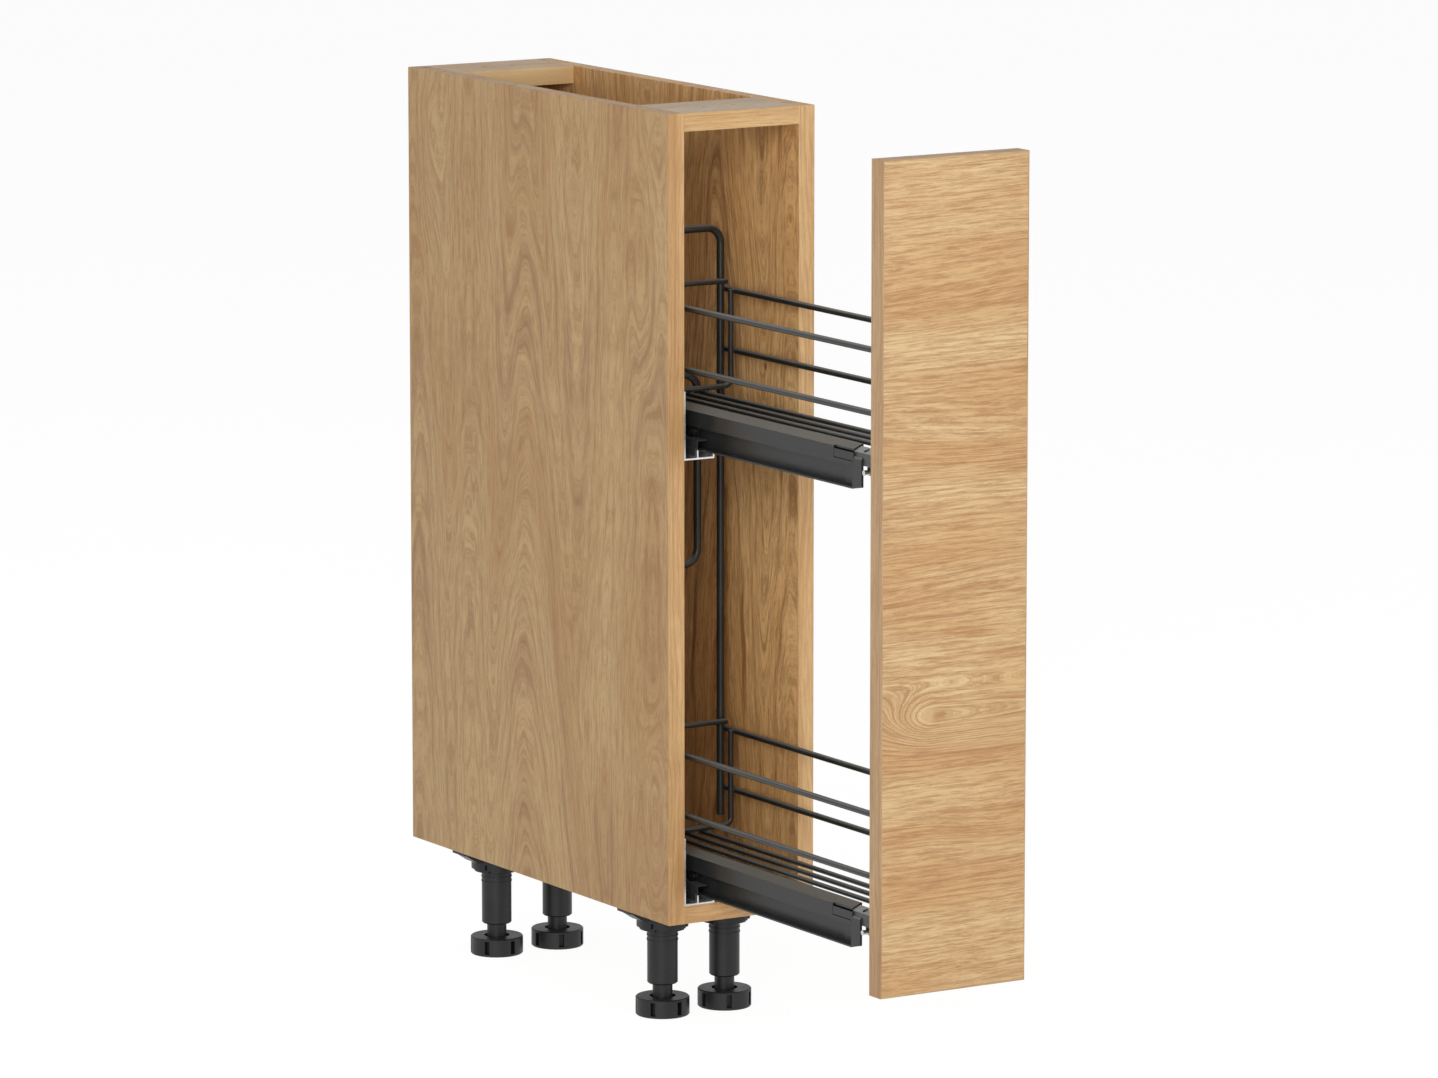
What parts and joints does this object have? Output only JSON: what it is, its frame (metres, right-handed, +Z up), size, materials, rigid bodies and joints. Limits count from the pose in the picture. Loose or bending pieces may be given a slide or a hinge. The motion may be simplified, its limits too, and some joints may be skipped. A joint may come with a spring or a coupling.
{
  "type": "pull-out kitchen cabinet",
  "caption": "Narrow kitchen base cabinet in oak-look board on screw feet, with its full-height front drawn out on side runners that carry wire baskets.",
  "frame": {"origin": "on the floor, under the middle of the whole cabinet with its pull-out fully open", "axes": "+X to the cabinet's right as seen from in front, +Y to the wall behind, +Z up; the front faces -Y"},
  "size_m": [0.15, 0.805, 0.82],
  "materials": {
    "panel_wood": "matt laminate with an open oak grain",
    "edge_band": "matt edging with an oak grain",
    "back_board": "matt board",
    "dowel_wood": "plain beech",
    "zinc_steel": "bright zinc plating",
    "cam_metal": "die-cast zinc",
    "roller_steel": "turned steel",
    "beam_paint": "satin anthracite coating",
    "wire_coating": "satin anthracite powder coating",
    "black_plastic": "satin moulded plastic",
    "bumper_rubber": "soft clear pad"
  },
  "bodies": {
    "carcass": {"left_side_panel": "panel_wood", "right_side_panel": "panel_wood", "bottom_panel": "panel_wood", "front_top_rail": "panel_wood", "rear_top_rail": "panel_wood", "back_panel": "back_board", "carcass_edging": "edge_band", "carcass_dowels": "dowel_wood", "cam_bolts": "zinc_steel", "cam_discs": "cam_metal", "upper_runner_bracket": "zinc_steel", "lower_runner_bracket": "zinc_steel", "runner_screws": "zinc_steel", "upper_rail_glides": "black_plastic", "lower_rail_glides": "black_plastic", "leg_screws": "zinc_steel", "front_left_leg_socket": "black_plastic", "front_left_leg_sleeve": "black_plastic", "front_right_leg_socket": "black_plastic", "front_right_leg_sleeve": "black_plastic", "rear_left_leg_socket": "black_plastic", "rear_left_leg_sleeve": "black_plastic", "rear_right_leg_socket": "black_plastic", "rear_right_leg_sleeve": "black_plastic"},
    "pull_out": {"front_panel": "panel_wood", "front_edging": "edge_band", "front_bumpers": "bumper_rubber", "front_screws": "zinc_steel", "adjuster_screws": "zinc_steel", "upper_front_bracket": "beam_paint", "upper_beam": "beam_paint", "upper_beam_end_cap": "black_plastic", "upper_basket_side_rails": "wire_coating", "upper_basket_floor_wires": "wire_coating", "upper_basket_rear_hoop": "wire_coating", "upper_basket_front_hoop": "wire_coating", "lower_front_bracket": "beam_paint", "lower_beam": "beam_paint", "lower_beam_end_cap": "black_plastic", "lower_basket_side_rails": "wire_coating", "lower_basket_floor_wires": "wire_coating", "lower_basket_rear_hoop": "wire_coating", "lower_basket_front_hoop": "wire_coating", "rear_frame": "wire_coating", "frame_stay": "wire_coating", "basket_cross_wires": "wire_coating", "frame_clips": "black_plastic"},
    "upper_middle_rail": {"upper_middle_rail": "beam_paint", "upper_roller_plate": "zinc_steel"},
    "upper_top_roller": {"upper_top_roller": "roller_steel"},
    "upper_bottom_roller": {"upper_bottom_roller": "roller_steel"},
    "lower_middle_rail": {"lower_middle_rail": "beam_paint", "lower_roller_plate": "zinc_steel"},
    "lower_top_roller": {"lower_top_roller": "roller_steel"},
    "lower_bottom_roller": {"lower_bottom_roller": "roller_steel"},
    "front_left_foot": {"front_left_foot": "black_plastic"},
    "front_right_foot": {"front_right_foot": "black_plastic"},
    "rear_left_foot": {"rear_left_foot": "black_plastic"},
    "rear_right_foot": {"rear_right_foot": "black_plastic"}
  },
  "joints": [
    {"name": "pull_out_slide", "type": "slide", "parent": "carcass", "child": "pull_out", "axis": [0, -1, 0], "range_m": [-0.323, 0]},
    {"name": "upper_rail_slide", "type": "slide", "parent": "carcass", "child": "upper_middle_rail", "axis": [0, -1, 0], "range_m": [-0.1615, 0]},
    {"name": "upper_top_roller_spin", "type": "hinge", "parent": "upper_middle_rail", "child": "upper_top_roller", "pos_m": [-0.0381, -0.0387, 0.5366], "axis": [1, 0, 0], "continuous": true},
    {"name": "upper_bottom_roller_spin", "type": "hinge", "parent": "upper_middle_rail", "child": "upper_bottom_roller", "pos_m": [-0.0381, 0.0323, 0.52687], "axis": [1, 0, 0], "continuous": true},
    {"name": "lower_rail_slide", "type": "slide", "parent": "carcass", "child": "lower_middle_rail", "axis": [0, -1, 0], "range_m": [-0.1615, 0]},
    {"name": "lower_top_roller_spin", "type": "hinge", "parent": "lower_middle_rail", "child": "lower_top_roller", "pos_m": [-0.0381, -0.0387, 0.1381], "axis": [1, 0, 0], "continuous": true},
    {"name": "lower_bottom_roller_spin", "type": "hinge", "parent": "lower_middle_rail", "child": "lower_bottom_roller", "pos_m": [-0.0381, 0.0323, 0.12837], "axis": [1, 0, 0], "continuous": true},
    {"name": "front_left_foot_height", "type": "slide", "parent": "carcass", "child": "front_left_foot", "axis": [0, 0, -1], "range_m": [-0.01, 0.025]},
    {"name": "front_right_foot_height", "type": "slide", "parent": "carcass", "child": "front_right_foot", "axis": [0, 0, -1], "range_m": [-0.01, 0.025]},
    {"name": "rear_left_foot_height", "type": "slide", "parent": "carcass", "child": "rear_left_foot", "axis": [0, 0, -1], "range_m": [-0.01, 0.025]},
    {"name": "rear_right_foot_height", "type": "slide", "parent": "carcass", "child": "rear_right_foot", "axis": [0, 0, -1], "range_m": [-0.01, 0.025]}
  ],
  "couplings": [
    {"joint": "upper_rail_slide", "follows": "pull_out_slide", "ratio": 0.5},
    {"joint": "upper_top_roller_spin", "follows": "pull_out_slide", "rad_per_m": 104.17},
    {"joint": "upper_bottom_roller_spin", "follows": "pull_out_slide", "rad_per_m": -162.6},
    {"joint": "lower_rail_slide", "follows": "pull_out_slide", "ratio": 0.5},
    {"joint": "lower_top_roller_spin", "follows": "pull_out_slide", "rad_per_m": 104.17},
    {"joint": "lower_bottom_roller_spin", "follows": "pull_out_slide", "rad_per_m": -162.6}
  ]
}
